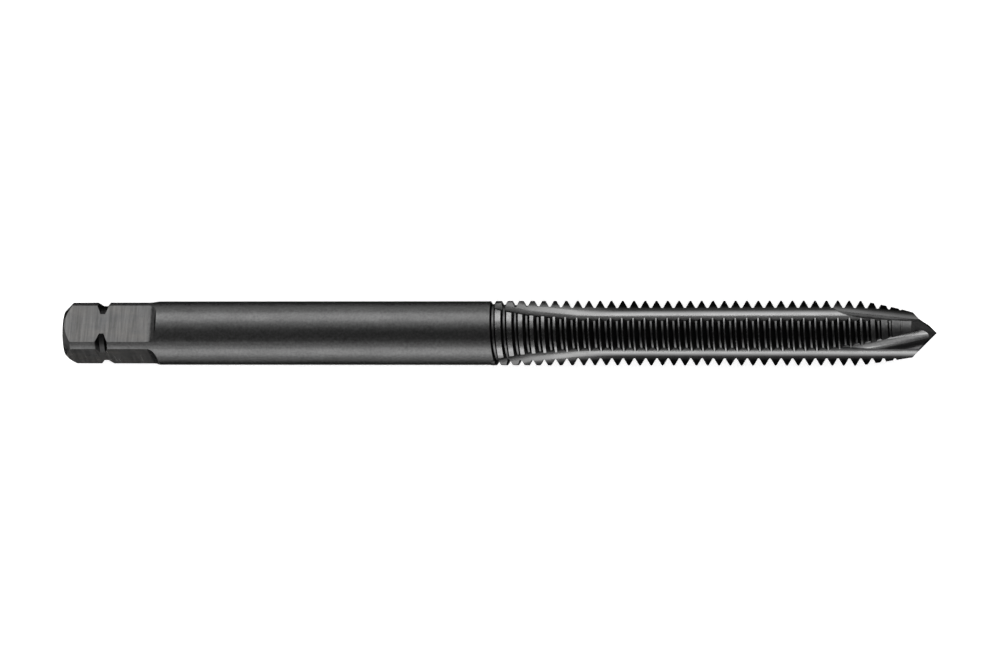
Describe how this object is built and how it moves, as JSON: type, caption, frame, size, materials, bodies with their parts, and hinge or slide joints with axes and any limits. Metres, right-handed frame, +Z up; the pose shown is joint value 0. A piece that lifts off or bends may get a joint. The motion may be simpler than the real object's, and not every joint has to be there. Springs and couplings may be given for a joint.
{
  "type": "thread tap",
  "caption": "Straight-fluted thread-cutting tap with a spiral point, a round shank and a square drive end, dark finish.",
  "frame": {"origin": "centre of the flat face at the square end, on the tool's axis", "axes": "+X along the tool's axis from the square end to the cutting point, +Z up through the middle of one land, with the tool lying on its side"},
  "size_m": [0.0544, 0.004, 0.004],
  "materials": {
    "black_steel": "ground high-speed steel with a thin black oxide, satin"
  },
  "bodies": {
    "root": {"thread_tap": "black_steel"}
  },
  "joints": []
}
